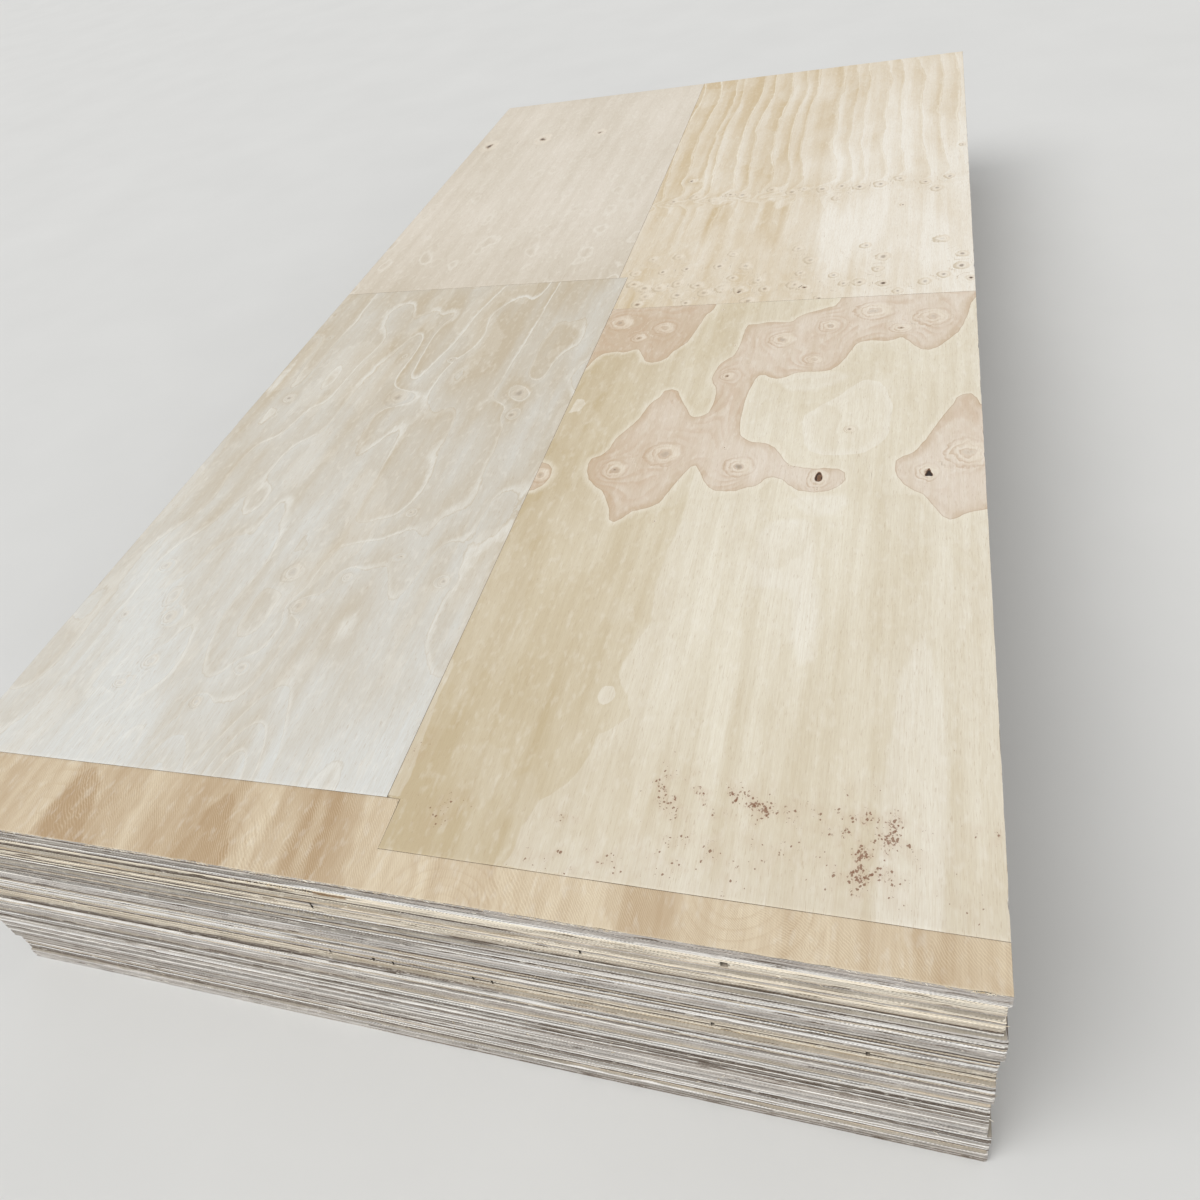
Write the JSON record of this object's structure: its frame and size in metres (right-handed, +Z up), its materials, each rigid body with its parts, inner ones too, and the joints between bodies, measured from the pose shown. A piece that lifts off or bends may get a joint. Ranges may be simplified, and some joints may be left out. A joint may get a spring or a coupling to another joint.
{
  "type": "stack of plywood sheets",
  "caption": "Flat stack of full-size softwood plywood sheets, lying slightly out of line with each other, as stored on a floor.",
  "frame": {"origin": "centre of the stack's footprint, on the floor", "axes": "+Z up through the stack, +Y along the sheets' length towards the rear ends, +X across their width to the right"},
  "size_m": [1.226, 2.446, 0.3314],
  "materials": {
    "face_veneer": "bare rotary-cut pine veneer, matt, pale cream to tan with growth bands and knots",
    "sawn_plies": "bare sawn plywood edge, matt, pale bands of long grain between greyer end grain"
  },
  "bodies": {
    "root": {"sheet_01": "sawn_plies", "sheet_02": "sawn_plies", "sheet_03": "sawn_plies", "sheet_04": "sawn_plies", "sheet_05": "sawn_plies", "sheet_06": "sawn_plies", "sheet_07": "sawn_plies", "sheet_08": "sawn_plies", "sheet_09": "sawn_plies", "sheet_10": "sawn_plies", "sheet_11": "sawn_plies", "sheet_12": "sawn_plies", "sheet_13": "sawn_plies", "sheet_14": "sawn_plies", "sheet_15": "sawn_plies", "sheet_16": "sawn_plies", "sheet_17": "sawn_plies", "sheet_18": "face_veneer"}
  },
  "joints": []
}
